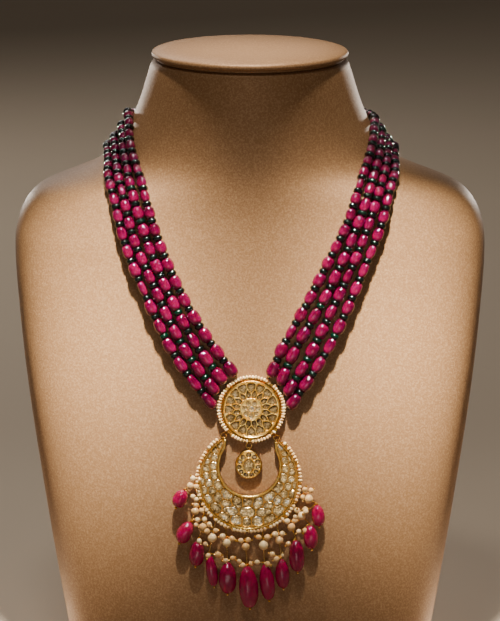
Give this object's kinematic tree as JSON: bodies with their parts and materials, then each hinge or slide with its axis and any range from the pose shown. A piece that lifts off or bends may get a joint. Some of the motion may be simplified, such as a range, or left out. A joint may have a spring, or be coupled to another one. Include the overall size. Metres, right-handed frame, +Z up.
{
  "type": "polki bead pendant necklace on a plain neck bust",
  "caption": "Necklace of ruby bead strings carrying a gold pendant of a round medallion, a crescent and a fringe of drops, all set with flat-cut stones, on a covered neck bust.",
  "frame": {"origin": "under the middle of the bounding box, on the plane of the bust's flat base", "axes": "the pendant and the chest of the bust face -Y, +Z is up, +X is the viewer's right"},
  "size_m": [0.2202, 0.1365, 0.3],
  "materials": {
    "leather_cover": "champagne tan leatherette, satin, fine grain",
    "ruby_bead": "polished translucent ruby, tumbled",
    "ruby_drop": "polished dark ruby",
    "thread": "dark twisted thread",
    "gold": "soft polished yellow gold, hand finished",
    "polki": "flat-cut foiled diamond, polished",
    "seed_pearl": "cream pearl lustre"
  },
  "bodies": {
    "root": {"bust": "leather_cover", "bust_cap": "leather_cover", "clasp": "gold", "string_left_1": "ruby_bead", "string_left_2": "ruby_bead", "string_left_3": "ruby_bead", "string_left_4": "ruby_bead", "string_right_1": "ruby_bead", "string_right_2": "ruby_bead", "string_right_3": "ruby_bead", "string_right_4": "ruby_bead", "thread_left_1": "thread", "thread_left_2": "thread", "thread_left_3": "thread", "thread_left_4": "thread", "thread_right_1": "thread", "thread_right_2": "thread", "thread_right_3": "thread", "thread_right_4": "thread", "back_string_left_1": "ruby_bead", "back_string_left_2": "ruby_bead", "back_string_left_3": "ruby_bead", "back_string_left_4": "ruby_bead", "back_string_right_1": "ruby_bead", "back_string_right_2": "ruby_bead", "back_string_right_3": "ruby_bead", "back_string_right_4": "ruby_bead", "medallion": "gold", "medallion_stones": "polki", "medallion_pearl_rim": "seed_pearl", "crescent": "gold", "crescent_stones": "polki", "crescent_pearl_rim": "seed_pearl", "pear_drop": "gold", "pear_stone": "polki", "jump_ring_left": "gold", "jump_ring_right": "gold", "pear_ring": "gold", "drop_wires": "gold", "drop_pearls": "seed_pearl", "ruby_drop_1": "ruby_drop", "ruby_drop_2": "ruby_drop", "ruby_drop_3": "ruby_drop", "ruby_drop_4": "ruby_drop", "ruby_drop_5": "ruby_drop", "ruby_drop_6": "ruby_drop", "ruby_drop_7": "ruby_drop", "ruby_drop_8": "ruby_drop", "ruby_drop_9": "ruby_drop", "ruby_drop_10": "ruby_drop", "ruby_drop_11": "ruby_drop"}
  },
  "joints": []
}
